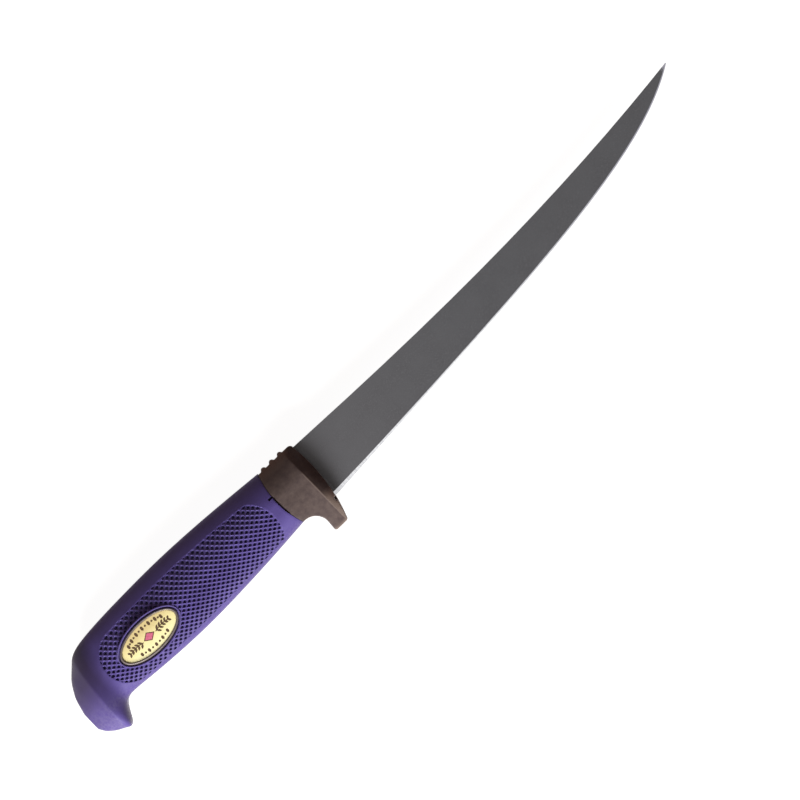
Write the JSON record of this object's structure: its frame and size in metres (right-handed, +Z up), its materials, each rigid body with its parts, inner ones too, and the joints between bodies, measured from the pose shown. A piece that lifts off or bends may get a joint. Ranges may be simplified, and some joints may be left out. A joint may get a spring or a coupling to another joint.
{
  "type": "fillet knife",
  "caption": "Fillet knife with a narrow trailing-point blade, a cast finger guard with thumb ribs and a checkered soft rubber grip with an oval badge.",
  "frame": {"origin": "centre of the footprint of the knife lying on its side, on the surface it lies on", "axes": "+X from butt to tip, +Y from cutting edge to spine, +Z up through the side with the badge"},
  "size_m": [0.3096, 0.0384, 0.0202],
  "materials": {
    "coated_steel": "dark grey non-stick coating with a bare ground edge",
    "bronze": "dark bronze, satin",
    "core_plastic": "moulded",
    "grip_rubber": "matte purple, moulded checkering",
    "badge_frame": "dull nickel-bronze plating",
    "badge_gold": "gold lacquer with fine printed lines",
    "adhesive_pad": "foam tape"
  },
  "bodies": {
    "root": {"blade": "coated_steel", "guard": "bronze", "handle_core": "core_plastic", "grip": "grip_rubber", "badge_bezel": "badge_frame", "badge_plate": "badge_gold", "badge_pad": "adhesive_pad"}
  },
  "joints": []
}
